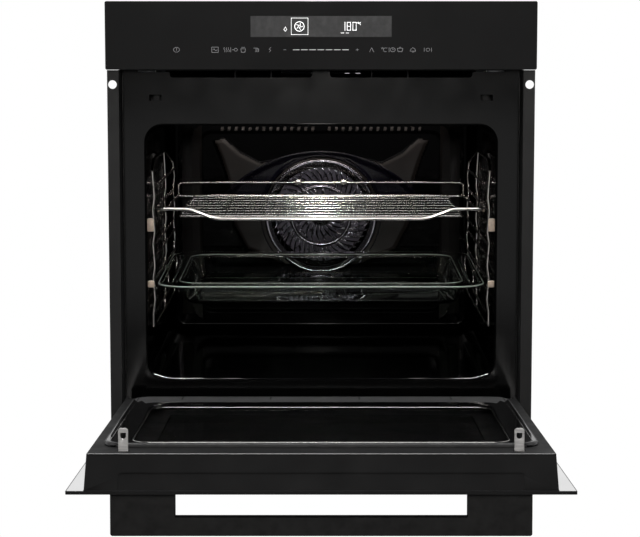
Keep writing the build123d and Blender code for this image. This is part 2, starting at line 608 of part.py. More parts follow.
# ---- Build -----------------------------------------------------------------------
control_panel()
front_frame()
casing()
cavity()
save("rear_baffle", rear_baffle())
save("fan_guard", fan_guard())
heaters()
lamp()
for side, sign in SIDES:
    save(f"side_rack_{side}", side_rack() if sign > 0 else mirrored(side_rack()))
save("rack_bushes", rack_bushes())
save("wire_shelf", wire_shelf())
save("glass_tray", glass_tray())
latches()
fan_and_motor()
cooling_blower()
microwave_source()
electrics()
insulation()
hinges()
door()
fasteners()
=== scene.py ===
"""Looks of the built-in combination wall oven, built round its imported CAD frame.

Sizes in the piece functions are millimetres in the object's own frame: +X right, +Y into
the cabinet, +Z up.  Door pieces are drawn with the door closed and then swung open.
"""
import json
import math

import bmesh
import bpy
from mathutils import Matrix, Vector


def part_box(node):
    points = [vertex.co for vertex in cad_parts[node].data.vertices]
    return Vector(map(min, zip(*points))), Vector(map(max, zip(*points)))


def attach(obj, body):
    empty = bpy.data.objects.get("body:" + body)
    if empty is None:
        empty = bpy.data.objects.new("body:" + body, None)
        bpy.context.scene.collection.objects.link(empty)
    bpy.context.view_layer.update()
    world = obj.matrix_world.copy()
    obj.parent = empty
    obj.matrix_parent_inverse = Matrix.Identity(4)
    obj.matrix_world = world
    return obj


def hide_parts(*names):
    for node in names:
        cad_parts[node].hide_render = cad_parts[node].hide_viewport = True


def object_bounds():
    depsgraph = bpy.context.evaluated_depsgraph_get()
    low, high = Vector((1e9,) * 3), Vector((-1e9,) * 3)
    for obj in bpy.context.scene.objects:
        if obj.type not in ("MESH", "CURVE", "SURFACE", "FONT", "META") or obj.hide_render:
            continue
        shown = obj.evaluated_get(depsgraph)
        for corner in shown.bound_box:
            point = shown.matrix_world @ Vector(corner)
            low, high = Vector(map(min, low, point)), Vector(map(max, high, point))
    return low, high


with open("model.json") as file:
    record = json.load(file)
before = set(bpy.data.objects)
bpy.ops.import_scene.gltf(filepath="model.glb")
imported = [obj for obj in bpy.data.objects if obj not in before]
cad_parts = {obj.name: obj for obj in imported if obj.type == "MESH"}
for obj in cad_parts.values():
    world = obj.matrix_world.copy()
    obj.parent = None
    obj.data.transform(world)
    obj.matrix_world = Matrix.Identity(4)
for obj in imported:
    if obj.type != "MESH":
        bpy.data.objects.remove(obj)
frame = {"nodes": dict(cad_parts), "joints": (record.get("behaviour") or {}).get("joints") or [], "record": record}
cad_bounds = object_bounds()
nodes = frame["nodes"]
MM = 0.001

hinge = next(j for j in frame["joints"] if j["name"] == "door_hinge")
HINGE = Vector(hinge["pos_m"])
DOOR_TURN = math.radians(hinge["range_deg"][1])
OPENED = (Matrix.Translation(HINGE) @ Matrix.Rotation(DOOR_TURN, 4, "X")
          @ Matrix.Translation(-HINGE))


def low_high(node):
    """A node's box in millimetres."""
    low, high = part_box(node)
    return low / MM, high / MM


# ---- Materials -------------------------------------------------------------------
class Shader:
    """A Principled material with a few procedural layers on it."""

    def __init__(self, name, color, rough, metal=0.0, **sockets):
        self.mat = bpy.data.materials.new(name)
        self.mat.use_nodes = True
        self.tree = self.mat.node_tree
        self.bsdf = self.tree.nodes["Principled BSDF"]
        self.color, self.rough = color, rough
        self.bsdf.inputs["Base Color"].default_value = (*color, 1)
        self.bsdf.inputs["Roughness"].default_value = rough
        self.bsdf.inputs["Metallic"].default_value = metal
        for socket, value in sockets.items():
            self.bsdf.inputs[socket.replace("_", " ")].default_value = value
        self.coords = self.tree.nodes.new("ShaderNodeTexCoord").outputs["Object"]

    def link(self, a, b):
        self.tree.links.new(a, b)

    def stretched(self, scale):
        node = self.tree.nodes.new("ShaderNodeMapping")
        node.inputs["Scale"].default_value = scale
        self.link(self.coords, node.inputs["Vector"])
        return node.outputs["Vector"]

    def noise(self, scale, stretch=(1, 1, 1), detail=4.0):
        node = self.tree.nodes.new("ShaderNodeTexNoise")
        node.inputs["Scale"].default_value = scale
        node.inputs["Detail"].default_value = detail
        self.link(self.stretched(stretch), node.inputs["Vector"])
        return node.outputs["Fac"]

    def ranged(self, fac, low, high, at=(0.3, 0.7)):
        node = self.tree.nodes.new("ShaderNodeMapRange")
        for socket, value in zip(("From Min", "From Max", "To Min", "To Max"), (*at, low, high)):
            node.inputs[socket].default_value = value
        self.link(fac, node.inputs["Value"])
        return node.outputs["Result"]

    def vary_roughness(self, spread, scale, stretch=(1, 1, 1)):
        fac = self.noise(scale, stretch)
        out = self.ranged(fac, self.rough * (1 - spread), self.rough * (1 + spread))
        self.link(out, self.bsdf.inputs["Roughness"])
        return self

    def vary_color(self, other, scale, stretch=(1, 1, 1), at=(0.35, 0.65)):
        mix = self.tree.nodes.new("ShaderNodeMix")
        mix.data_type = "RGBA"
        mix.inputs["A"].default_value = (*self.color, 1)
        mix.inputs["B"].default_value = (*other, 1)
        self.link(self.ranged(self.noise(scale, stretch), 0, 1, at), mix.inputs["Factor"])
        self.link(mix.outputs["Result"], self.bsdf.inputs["Base Color"])
        return self

    def bump(self, scale, strength, distance=0.0002, stretch=(1, 1, 1), detail=4.0):
        node = self.tree.nodes.new("ShaderNodeBump")
        node.inputs["Strength"].default_value = strength
        node.inputs["Distance"].default_value = distance
        self.link(self.noise(scale, stretch, detail), node.inputs["Height"])
        self.link(node.outputs["Normal"], self.bsdf.inputs["Normal"])
        return self


def painted(name, color, rough, orange_peel=0.12, gloss=0.5):
    """Stoved paint or enamel: faint orange peel and slightly uneven gloss."""
    shader = Shader(name, color, rough, Specular_IOR_Level=gloss)
    lighter = tuple(c * 1.25 for c in color)
    shader.vary_color(lighter, 30).vary_roughness(0.12, 25)
    return shader.bump(420, orange_peel, 0.00005).mat


def coated(name, color, rough):
    """Back-printed glass: a satin dark print under a clear gloss."""
    shader = Shader(name, color, rough, Coat_Weight=0.5, Coat_Roughness=0.03,
                    Specular_IOR_Level=0.25)
    return shader.vary_color(tuple(c * 1.2 for c in color), 20).vary_roughness(0.06, 15).mat


def steel(name, color, rough, stretch=(1, 1, 1), grain=60):
    """Bare metal with fine drawing lines along its short stretch axis."""
    shader = Shader(name, color, rough, 1.0)
    darker = tuple(c * 0.8 for c in color)
    shader.vary_color(darker, grain, stretch).vary_roughness(0.3, grain * 1.7, stretch)
    return shader.bump(grain * 6, 0.06, 0.00003, stretch).mat


def plated(name, color, rough):
    """Bright plating, smooth with only slow changes of tone."""
    shader = Shader(name, color, rough, 1.0)
    return shader.vary_color(tuple(c * 0.93 for c in color), 9).vary_roughness(0.1, 7).mat


def enamel(name, color, rough=0.05, gloss=0.35):
    """Glossy vitreous enamel with tiny waves."""
    shader = Shader(name, color, rough, Specular_IOR_Level=gloss)
    shader.vary_color(tuple(c * 1.5 for c in color), 60).vary_roughness(0.35, 18)
    return shader.bump(35, 0.05, 0.0002, detail=2.0).mat


def moulded(name, color, rough):
    shader = Shader(name, color, rough)
    shader.vary_color(tuple(c * 1.3 for c in color), 200).vary_roughness(0.15, 90)
    return shader.bump(1400, 0.15, 0.00005).mat


def clear_glass(name, color, ior=1.5):
    """Clear glass that lets lamps through."""
    shader = Shader(name, color, 0.0, Transmission_Weight=1.0, IOR=ior)
    shader.bump(12, 0.02, 0.0002, detail=1.0)
    through = shader.tree.nodes.new("ShaderNodeBsdfTransparent")
    through.inputs["Color"].default_value = (*color, 1)
    path = shader.tree.nodes.new("ShaderNodeLightPath")
    mix = shader.tree.nodes.new("ShaderNodeMixShader")
    shader.link(path.outputs["Is Shadow Ray"], mix.inputs["Fac"])
    shader.link(shader.bsdf.outputs["BSDF"], mix.inputs[1])
    shader.link(through.outputs["BSDF"], mix.inputs[2])
    shader.link(mix.outputs["Shader"], shader.tree.nodes["Material Output"].inputs["Surface"])
    return shader.mat


def glowing(name, color, strength):
    shader = Shader(name, color, 0.4, Emission_Color=(*color, 1), Emission_Strength=strength)
    return shader.vary_color(tuple(c * 0.94 for c in color), 300).mat


def galvanised():
    """Zinc-coated sheet with its crystal spangle."""
    shader = Shader("galvanised_sheet", (0.36, 0.37, 0.38), 0.52, 1.0)
    cells = shader.tree.nodes.new("ShaderNodeTexVoronoi")
    cells.inputs["Scale"].default_value = 130
    shader.link(shader.coords, cells.inputs["Vector"])
    ramp = shader.tree.nodes.new("ShaderNodeValToRGB")
    ramp.color_ramp.elements[0].color = (0.32, 0.33, 0.345, 1)
    ramp.color_ramp.elements[1].color = (0.42, 0.43, 0.445, 1)
    shader.link(cells.outputs["Color"], ramp.inputs["Fac"])
    shader.link(ramp.outputs["Color"], shader.bsdf.inputs["Base Color"])
    return shader.vary_roughness(0.12, 70).bump(50, 0.03, 0.0001).mat


def wool():
    shader = Shader("mineral_wool", (0.62, 0.56, 0.38), 0.95)
    shader.vary_color((0.45, 0.38, 0.22), 90, (1, 1, 5))
    return shader.bump(180, 0.9, 0.003, (1, 1, 4), 8.0).mat


def circuit_board():
    shader = Shader("circuit_board", (0.012, 0.09, 0.035), 0.35)
    shader.vary_color((0.03, 0.16, 0.06), 260, (1, 6, 1), (0.48, 0.52))
    return shader.bump(400, 0.3, 0.0002).mat


MAT = {
    "panel_glass": coated("panel_glass", (0.0034, 0.0034, 0.0036), 0.60),
    "tinted_door_glass": coated("tinted_door_glass", (0.006, 0.006, 0.0065), 0.5),
    "clear_glass": clear_glass("clear_glass", (0.90, 0.96, 0.91)),
    "dark_clear_glass": clear_glass("dark_clear_glass", (0.60, 0.60, 0.60), 1.03),
    "black_enamel": enamel("black_enamel", (0.0005, 0.0005, 0.0006), 0.08, 0.045),
    "grey_enamel": painted("front_enamel", (0.0012, 0.0012, 0.0012), 0.13, 0.03),
    "frame_paint": painted("door_frame_paint", (0.0076, 0.0076, 0.0078), 0.58, gloss=0.12),
    "flange_paint": painted("flange_paint", (0.008, 0.008, 0.0082), 0.50),
    "galvanised": galvanised(),
    "chrome": plated("chrome_wire", (0.80, 0.76, 0.72), 0.10),
    "guard_steel": plated("guard_steel", (0.36, 0.345, 0.385), 0.09),
    "hook_steel": steel("hook_steel", (0.74, 0.73, 0.72), 0.42, (1, 1, 8)),
    "matte_black": moulded("handle_black", (0.006, 0.006, 0.0062), 0.62),
    "black_plastic": moulded("black_plastic", (0.004, 0.004, 0.004), 0.6),
    "choke_black": enamel("choke_black", (0.0015, 0.0015, 0.0016), 0.07),
    "screen_steel": painted("screen_enamel", (0.003, 0.003, 0.003), 0.5, gloss=0.08),
    "ceramic_cream": moulded("bush_ceramic", (0.62, 0.50, 0.40), 0.42),
    "mica": moulded("mica_sheet", (0.42, 0.36, 0.28), 0.5),
    "heater_steel": steel("heater_steel", (0.10, 0.10, 0.105), 0.5),
    "mineral_wool": wool(),
    "circuit_board": circuit_board(),
    "display_dark": moulded("display_dark", (0.040, 0.040, 0.042), 0.3),
    "screw_steel": steel("screw_steel", (0.55, 0.54, 0.53), 0.25),
    "aluminium": steel("cast_aluminium", (0.62, 0.62, 0.64), 0.32, (1, 1, 3)),
}
# Dark steel for the convection fan: painted shade, for the fan sitting in the shadow behind the guard.
FAN_PAINTED_SHADE = steel("fan_steel_painted_shade", (0.07, 0.065, 0.08), 0.30)
# Bright steel for thin beads that are painted highlights: the cavity mouth's sill, the window's edge and the
# choke's flanks.
HIGHLIGHT_BEAD_STEEL = plated("highlight_bead_steel", (0.42, 0.41, 0.40), 0.16)
EDGE_STEEL = plated("edge_steel", (0.16, 0.16, 0.16), 0.34)
# Pale green-grey for tubes on the tray's rims: a painted glint for the light the glass edges carry.
TRAY_RIM_PAINTED_GLINT = moulded("tray_rim_painted_glint", (0.50, 0.56, 0.50), 0.22)
# Lighter enamel for the pressed louvres: painted light for what their edges catch, the baffle itself being black.
LOUVRE_PAINTED_LIGHT = painted("louvre_painted_light", (0.028, 0.025, 0.024), 0.4)
# Warm grey for the raised star on the black baffle: a painted sheen for the light its slopes reflect.
STAR_PAINTED_SHEEN = painted("star_painted_sheen", (0.014, 0.0112, 0.0102), 0.50, gloss=0.25)
# Lighter brown for the side strips of the baffle's border and the back wall beside them: painted sheen for light
# caught there.
FLANK_PAINTED_SHEEN = painted("flank_painted_sheen", (0.0045, 0.0036, 0.0033), 0.46, gloss=0.10)
DISH_ENAMEL = enamel("dish_enamel", (0.004, 0.0035, 0.008), 0.09)
PRINT = glowing("panel_print", (0.30, 0.30, 0.31), 0.55)
SLIDER = glowing("slider_print", (0.42, 0.42, 0.42), 0.7)
# Lighter grey for the choke cover's band by the hinges: a painted reflection of the bright surroundings.
CHOKE_PAINTED_SHEEN = painted("choke_painted_sheen", (0.040, 0.040, 0.0405), 0.42, gloss=0.45)
WINDOW = moulded("display_window", (0.040, 0.040, 0.041), 0.5)
DIGITS = glowing("display_digits", (0.9, 0.9, 0.9), 0.9)
MIRROR_MARGIN = plated("mirror_margin", (0.97, 0.97, 0.97), 0.04)


def dress_cad_nodes():
    """Every CAD node takes its slot's material, except the convection fan, whose dark steel is painted shade for
    the fan sitting behind the guard.
    """
    slots = {p["node"]: p["material_slot"] for p in frame["record"]["subparts"]}
    for name, obj in nodes.items():
        obj.data.materials.clear()
        fan = name == "convection_fan"
        # The fan's dark steel is painted shade.
        obj.data.materials.append(FAN_PAINTED_SHADE if fan else MAT[slots[name]])


def soften(node, width, angle=30):
    """Weld a CAD node's split edges and round them, so that they catch the light."""
    obj = nodes[node]
    weld = obj.modifiers.new("weld", "WELD")
    weld.merge_threshold = 1e-5
    bevel = obj.modifiers.new("edges", "BEVEL")
    bevel.width, bevel.segments = width * MM, 3
    bevel.limit_method, bevel.angle_limit = "ANGLE", math.radians(angle)
    bevel.harden_normals = True
    bevel.use_clamp_overlap = True


# ---- Mesh helpers ----------------------------------------------------------------
def piece(name, bm, body, material, sharp=35, door=False):
    """Turn a bmesh drawn in millimetres into a piece that rides on a body."""
    bmesh.ops.remove_doubles(bm, verts=bm.verts, dist=1e-3)
    bmesh.ops.recalc_face_normals(bm, faces=bm.faces)
    mesh = bpy.data.meshes.new(name)
    bm.to_mesh(mesh)
    bm.free()
    place = Matrix.Scale(MM, 4)
    if door:
        place = OPENED @ place
    mesh.transform(place)
    mesh.polygons.foreach_set("use_smooth", [True] * len(mesh.polygons))
    mesh.set_sharp_from_angle(angle=math.radians(sharp))
    for m in material if isinstance(material, list) else [material]:
        mesh.materials.append(m)
    obj = bpy.data.objects.new(name, mesh)
    bpy.context.scene.collection.objects.link(obj)
    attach(obj, body)
    return obj


def loft(bm, rings, closed=True):
    """Quads between rings of equally many points; returns the rings' vertices."""
    made = [[bm.verts.new(p) for p in ring] for ring in rings]
    for a, b in zip(made, made[1:]):
        count = len(a)
        for i in range(count if closed else count - 1):
            j = (i + 1) % count
            bm.faces.new((a[i], a[j], b[j], b[i]))
    return made


def rounded_outline(half_w, z0, z1, r, steps=8):
    """Points (x, z) round a rounded rectangle centred on X = 0."""
    points = []
    corners = ((half_w - r, z1 - r, 0), (r - half_w, z1 - r, 90), (r - half_w, z0 + r, 180),
               (half_w - r, z0 + r, 270))
    for x, z, start in corners:
        for i in range(steps + 1):
            a = math.radians(start + 90 * i / steps)
            points.append((x + r * math.cos(a), z + r * math.sin(a)))
    return points


def framed(bm, rect, profile, steps=8):
    """Sweep a profile of (outset, y) round a rounded rectangle (half_w, z0, z1, r)."""
    half_w, z0, z1, r = rect
    rings = []
    for out, y in profile:
        outline = rounded_outline(half_w + out, z0 - out, z1 + out, max(r + out, 0.5), steps)
        rings.append([(x, y, z) for x, z in outline])
    return loft(bm, rings)


def arc(centre, r, start, end, steps=6):
    """Points on an arc, angles in degrees."""
    out = []
    for i in range(steps + 1):
        a = math.radians(start + (end - start) * i / steps)
        out.append((centre[0] + r * math.cos(a), centre[1] + r * math.sin(a)))
    return out


def block(bm, x, y, z, edge=0.5):
    """A box from (low, high) ranges with rounded edges."""
    made = bmesh.ops.create_cube(bm, size=1)["verts"]
    centre = [(a + b) / 2 for a, b in (x, y, z)]
    size = [b - a for a, b in (x, y, z)]
    for v in made:
        v.co = Vector([c + s * k for c, s, k in zip(centre, size, v.co)])
    edges = list({e for v in made for e in v.link_edges})
    if edge:
        bmesh.ops.bevel(bm, geom=edges, offset=edge, segments=3, affect="EDGES", profile=0.5)


def smooth_path(points, bend, steps=6):
    """Replace each inner corner of a polyline by a bend of about that radius."""
    points = [Vector(p) for p in points]
    out = [points[0]]
    for before, at, after in zip(points, points[1:], points[2:]):
        reach = min(bend, (before - at).length * 0.48, (after - at).length * 0.48)
        a = at + (before - at).normalized() * reach
        b = at + (after - at).normalized() * reach
        for i in range(steps + 1):
            t = i / steps
            out.append(a * (1 - t) ** 2 + at * (2 * t * (1 - t)) + b * t ** 2)
    return out + [points[-1]]


def tube(bm, points, r, sides=12, bend=6.0, caps=True):
    """A round wire along a polyline with bent corners."""
    path = smooth_path(points, bend)
    tangents = [(b - a).normalized() for a, b in zip(path, path[1:])]
    tangents.append(tangents[-1])
    normal = tangents[0].orthogonal().normalized()
    rings = []
    for i, point in enumerate(path):
        along = (tangents[max(i - 1, 0)] + tangents[i]).normalized()
        normal = (normal - along * normal.dot(along)).normalized()
        side = along.cross(normal)
        ring = []
        for k in range(sides):
            a = 2 * math.pi * k / sides
            ring.append(point + (normal * math.cos(a) + side * math.sin(a)) * r)
        rings.append(ring)
    made = loft(bm, rings)
    if caps:
        bm.faces.new(made[0][::-1])
        bm.faces.new(made[-1])


def mirror_x(points):
    return [(-x, y, z) for x, y, z in points]


# ---- Control panel ---------------------------------------------------------------
PRINT_Y = low_high("control_panel_glass")[0].y
KEY_ROW_Z, KEY_LINE, KEY_SQUASH = 528.4, 0.42, 0.82
SLIDER_LEFT, SLIDER_DASHES, SLIDER_PITCH, DASH_LENGTH, DASH_WIDTH = -38.5, 7, 11.3, 8.4, 1.0
DISPLAY_HALF, DISPLAY_Z0, DISPLAY_Z1 = 97.0, 546.0, 574.6
DIGIT_CENTRES, DIGIT_HALF, DIGIT_Z0, DIGIT_Z1, DIGIT_LINE = (38.2, 46.0), 2.3, 555.2, 565.8, 0.95
MODE_SIGN, MODE_BLADES = (-29.8, 560.3), 5


def stroke(bm, points, width, lift=0.06, closed=False):
    """A flat printed line on the panel's face through (x, z) points."""
    points = list(points) + ([points[0]] if closed else [])
    for (x0, z0), (x1, z1) in zip(points, points[1:]):
        run = math.hypot(x1 - x0, z1 - z0) or 1
        nx, nz = -(z1 - z0) / run * width / 2, (x1 - x0) / run * width / 2
        ex, ez = (x1 - x0) / run * width / 3, (z1 - z0) / run * width / 3
        corners = ((x0 - ex + nx, z0 - ez + nz), (x1 + ex + nx, z1 + ez + nz),
                   (x1 + ex - nx, z1 + ez - nz), (x0 - ex - nx, z0 - ez - nz))
        front = [bm.verts.new((x, PRINT_Y - lift, z)) for x, z in corners]
        back = [bm.verts.new((x, PRINT_Y, z)) for x, z in corners]
        bm.faces.new(front)
        bm.faces.new(back[::-1])
        for i in range(4):
            j = (i + 1) % 4
            bm.faces.new((front[j], front[i], back[i], back[j]))


def ring_points(x, z, r, steps=20):
    return arc((x, z), r, 0, 360 - 360 / steps, steps - 1)



def panel_keys():
    """Generic touch-key pictograms either side of the slider."""
    bm = bmesh.new()
    z = KEY_ROW_Z

    def line(points, closed=False, width=KEY_LINE):
        squashed = [(x, z + KEY_SQUASH * (h - z)) for x, h in points]
        stroke(bm, squashed, width, closed=closed)

    def wave(x, z0, height, steps=8):
        line([(x + 0.8 * math.sin(2 * math.pi * i / steps), z0 + height * i / steps)
              for i in range(steps + 1)])

    line(ring_points(-199, z, 4.0), True)
    line([(-199, z - 1.4), (-199, z + 2.6)])
    line([(-150.5, z - 4.4), (-141.5, z - 4.4), (-141.5, z + 4.4), (-150.5, z + 4.4)], True)
    line([(-149, z), (-147.5, z + 1.6), (-145, z - 1.6), (-143, z)])
    for x in (-133, -130, -127):
        wave(x, z - 3.6, 7.2)
    line([(-124.4, z - 3.8), (-124.4, z + 3.8)])
    line(ring_points(-117.5, z, 2.4), True)
    line([(-122.6, z), (-120.1, z)])
    line([(-110.4, z + 1.6), (-109.8, z - 4.2), (-104.8, z - 4.2), (-104.2, z + 1.6)], True)
    line([(-109.6, z + 4), (-105, z + 4)])
    line([(-93, z + 2.8), (-88, z + 2.8), (-86, z + 1.2), (-86, z - 3.6)])
    for dz in (-3.2, -0.8, 1.2):
        line([(-90.5, z + dz), (-87.4, z + dz)])
    line([(-71.6, z - 4), (-69.4, z - 1), (-71.6, z + 1), (-69, z + 4)])
    line([(-51.6, z), (-48, z)])
    line([(48, z), (51.6, z)])
    line([(49.8, z - 1.8), (49.8, z + 1.8)])
    line([(66.8, z - 3.6), (69.6, z + 3.6), (72.4, z - 3.6)])
    line(ring_points(84.4, z + 2.6, 1.1, 10), True)
    line(ring_points(89, z, 3.2)[3:17])
    line([(93.6, z - 3.8), (93.6, z + 3.8)])
    line(ring_points(98.6, z, 3.4), True)
    line([(98.6, z + 2), (98.6, z), (100.4, z)])
    line([(105, z + 2.4), (106.2, z - 3.2), (111.4, z - 3.2), (112.6, z + 2.4)], True)
    line(ring_points(108.8, z + 3.4, 1, 10), True)
    line([(122.6, z - 2.4), (123.8, z + 1.4), (126.4, z + 3.6), (129, z + 1.4),
          (130.2, z - 2.4)], True)
    line([(125.4, z - 4), (127.4, z - 4)])
    line(ring_points(147, z, 2.6), True)
    for s in (-1, 1):
        line([(147 + 5 * s, z - 3), (147 + 5 * s, z + 3)])
    piece("panel_key_print", bm, "housing", PRINT, 20)
    bm = bmesh.new()
    for i in range(SLIDER_DASHES):
        x0 = SLIDER_LEFT + SLIDER_PITCH * i
        stroke(bm, [(x0, z), (x0 + DASH_LENGTH, z)], DASH_WIDTH)
    piece("panel_slider_print", bm, "housing", SLIDER, 20)


def panel_display():
    """The lighter display window with its lit signs."""
    bm = bmesh.new()
    block(bm, (-DISPLAY_HALF, DISPLAY_HALF), (PRINT_Y - 0.04, PRINT_Y + 0.2),
          (DISPLAY_Z0, DISPLAY_Z1), 0)
    piece("display_window", bm, "housing", WINDOW)
    bm = bmesh.new()

    def line(points, closed=False, width=0.9):
        stroke(bm, points, width, 0.1, closed)

    line([(-41, 549.2), (-18, 549.2), (-18, 571.8), (-41, 571.8)], True, 0.7)
    x, z = MODE_SIGN
    line(ring_points(x, z, 6.5), True, 0.85)
    for i in range(MODE_BLADES):
        a = math.radians(360 / MODE_BLADES * i + 20)
        b = a + math.radians(55)
        line([(x + 1.2 * math.cos(a), z + 1.2 * math.sin(a)),
              (x + 4.6 * math.cos(b), z + 4.6 * math.sin(b))], width=1.0)
    line([(-49.2, 559.8), (-51.3, 556.2), (-49.2, 553.6), (-47.1, 556.2)], True, 0.6)
    line([(32.8, 554.8), (32.8, 566.2)], width=1.05)
    for x in DIGIT_CENTRES:
        x0, x1 = x - DIGIT_HALF, x + DIGIT_HALF
        line([(x0, DIGIT_Z0), (x1, DIGIT_Z0), (x1, DIGIT_Z1), (x0, DIGIT_Z1)], True, DIGIT_LINE)
    line([(36, 560.5), (40.4, 560.5)], width=DIGIT_LINE)
    line(ring_points(51.2, 565.2, 0.8, 8), True, 0.6)
    line([(54.4, 562.4), (53.4, 563.6), (53.4, 565), (54.4, 566.2)], width=0.7)
    line([(27.4, 551.4), (31.4, 551.4)], width=0.9)
    line([(34.2, 551.4), (38.2, 551.4)], width=0.7)
    piece("display_signs", bm, "housing", DIGITS, 20)


# ---- Rear baffle and fan guard ---------------------------------------------------
BAFFLE_LOW, BAFFLE_HIGH = low_high("rear_baffle")
GUARD_LOW, GUARD_HIGH = low_high("fan_guard")
FAN_Z = (GUARD_LOW.z + GUARD_HIGH.z) / 2
BAFFLE_Y, BAFFLE_CORNER, BAFFLE_DEPTH = 440.0, 25.0, 37
BORDER_WIDTH, BORDER_CORNER, BORDER_RISE, BORDER_SLOPE = 17, 14, 3, 4
STAR_RISE, STAR_SLOPE = 4, 7
DISH_R, DISH_Z, DISH_SINK, DISH_SLOPE = 211.0, 147.0, 7, 9
GUARD_R, FAN_OPENING = 92.0, 84
RELIEF_STEP = 2.0
LOUVRES_PER_SIDE, LOUVRE_FIRST, LOUVRE_PITCH, LOUVRE_Z = 14, 13.5, 11.3, 395
STAR_HALF = [(0, 352), (60, 349), (99, 340), (132, 357), (158, 381), (176, 376), (163, 342),
             (148, 294), (144, 238), (122, 197), (62, 174), (0, 168)]
STAR = STAR_HALF + [(-x, z) for x, z in STAR_HALF[-2:0:-1]]


def edge_distance(x, z, outline):
    """Signed distance to a closed outline, positive inside."""
    best, inside = 1e9, False
    for (ax, az), (bx, bz) in zip(outline, outline[1:] + outline[:1]):
        dx, dz = bx - ax, bz - az
        t = max(0, min(1, ((x - ax) * dx + (z - az) * dz) / (dx * dx + dz * dz)))
        best = min(best, math.hypot(x - ax - t * dx, z - az - t * dz))
        if (az > z) != (bz > z) and x < ax + (z - az) * dx / dz:
            inside = not inside
    return best if inside else -best


def ease(t):
    t = max(0.0, min(1.0, t))
    return t * t * (3 - 2 * t)


def dish_depth(x, z):
    """0 outside the crescent dish round the guard, up to 1 at its deepest."""
    rim = DISH_R - math.hypot(x, z - DISH_Z)
    ring = math.hypot(x, z - FAN_Z) - GUARD_R
    if rim <= 0 or ring <= 0 or z < FAN_Z - 10:
        return 0.0
    return min(ease(rim / DISH_SLOPE), ease(ring / DISH_SLOPE)) * ease((z - FAN_Z + 10) / 40)


def relief(x, z, border):
    """The baffle's face Y at a point, and how far the point is in the star and in the dish."""
    star = edge_distance(x, z, STAR)
    dish = dish_depth(x, z)
    y = BAFFLE_Y - STAR_RISE * ease(star / STAR_SLOPE) + DISH_SINK * dish
    y -= BORDER_RISE * ease(-edge_distance(x, z, border) / BORDER_SLOPE)
    return y, star, dish


def baffle():
    """The embossed back plate: raised border, raised star, sunk dish round the guard."""
    half, z0, z1 = BAFFLE_HIGH.x, BAFFLE_LOW.z, BAFFLE_HIGH.z
    outer = rounded_outline(half, z0, z1, BAFFLE_CORNER)
    border = rounded_outline(half - BORDER_WIDTH, z0 + BORDER_WIDTH, z1 - BORDER_WIDTH,
                             BORDER_CORNER)
    columns, rows = int(2 * half / RELIEF_STEP), int((z1 - z0) / RELIEF_STEP)
    bm = bmesh.new()
    grid, info = [], []
    for j in range(rows + 1):
        z = z0 + (z1 - z0) * j / rows
        line, marks = [], []
        for i in range(columns + 1):
            x = -half + 2 * half * i / columns
            y, star, dish = relief(x, z, border)
            line.append(bm.verts.new((x, y, z)))
            marks.append((star, dish))
        grid.append(line)
        info.append(marks)
    for j in range(rows):
        for i in range(columns):
            x = (grid[j][i].co.x + grid[j][i + 1].co.x) / 2
            z = (grid[j][i].co.z + grid[j + 1][i].co.z) / 2
            if math.hypot(x, z - FAN_Z) < FAN_OPENING or edge_distance(x, z, outer) < 0.5:
                continue
            face = bm.faces.new((grid[j][i], grid[j][i + 1], grid[j + 1][i + 1], grid[j + 1][i]))
            star, dish = info[j][i]
            rim = abs(x) > half - BORDER_WIDTH + 1
            # Star faces and the border's side strips take the lighter brown enamels: painted sheen on the black
            # enamel.
            face.material_index = 2 if dish > 0.15 else 1 if star > 2 else 3 if rim else 0
    bmesh.ops.delete(bm, geom=[v for v in bm.verts if not v.link_faces], context="VERTS")
    framed(bm, (half, z0, z1, BAFFLE_CORNER),
           [(-2, BAFFLE_Y - BORDER_RISE), (0, BAFFLE_Y - 1), (0, BAFFLE_Y + BAFFLE_DEPTH)])
    obj = piece("rear_baffle_embossed", bm, "housing",
                [MAT["black_enamel"], STAR_PAINTED_SHEEN, DISH_ENAMEL, FLANK_PAINTED_SHEEN],
                60)
    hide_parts("rear_baffle")


def dish_bead():
    """The rolled bead along the dish's upper rim."""
    bm = bmesh.new()
    path = [(x, BAFFLE_Y - 3.4, z) for x, z in arc((0, DISH_Z), DISH_R, 38, 142, 40)]
    tube(bm, path, 1.7, 12, 1)
    path = [(x, BAFFLE_Y - 3.2, z) for x, z in arc((0, FAN_Z), GUARD_R + 6, 0, 360, 60)]
    tube(bm, path, 1.2, 10, 1)
    piece("dish_rim_bead", bm, "housing", DISH_ENAMEL, 60)


def vent_louvres():
    """Pressed louvres along the baffle's upper border, in a lighter enamel that is painted light."""
    face = BAFFLE_Y - BORDER_RISE
    profile = [(-3.4, 0.4), (-3.0, -1.2), (-1.0, -2.6), (2.0, -2.6), (4.0, 0.4)]
    bm = bmesh.new()
    for i in range(LOUVRES_PER_SIDE):
        for s in (-1, 1):
            x = s * (LOUVRE_FIRST + LOUVRE_PITCH * i)
            rings = [[(x + dx + dz * 0.12, face + dy, LOUVRE_Z + dz) for dz, dy in profile]
                     for dx in (-2.2, -1.4, 1.4, 2.2)]
            loft(bm, rings, closed=False)
    piece("baffle_louvres", bm, "housing", LOUVRE_PAINTED_LIGHT, 50)


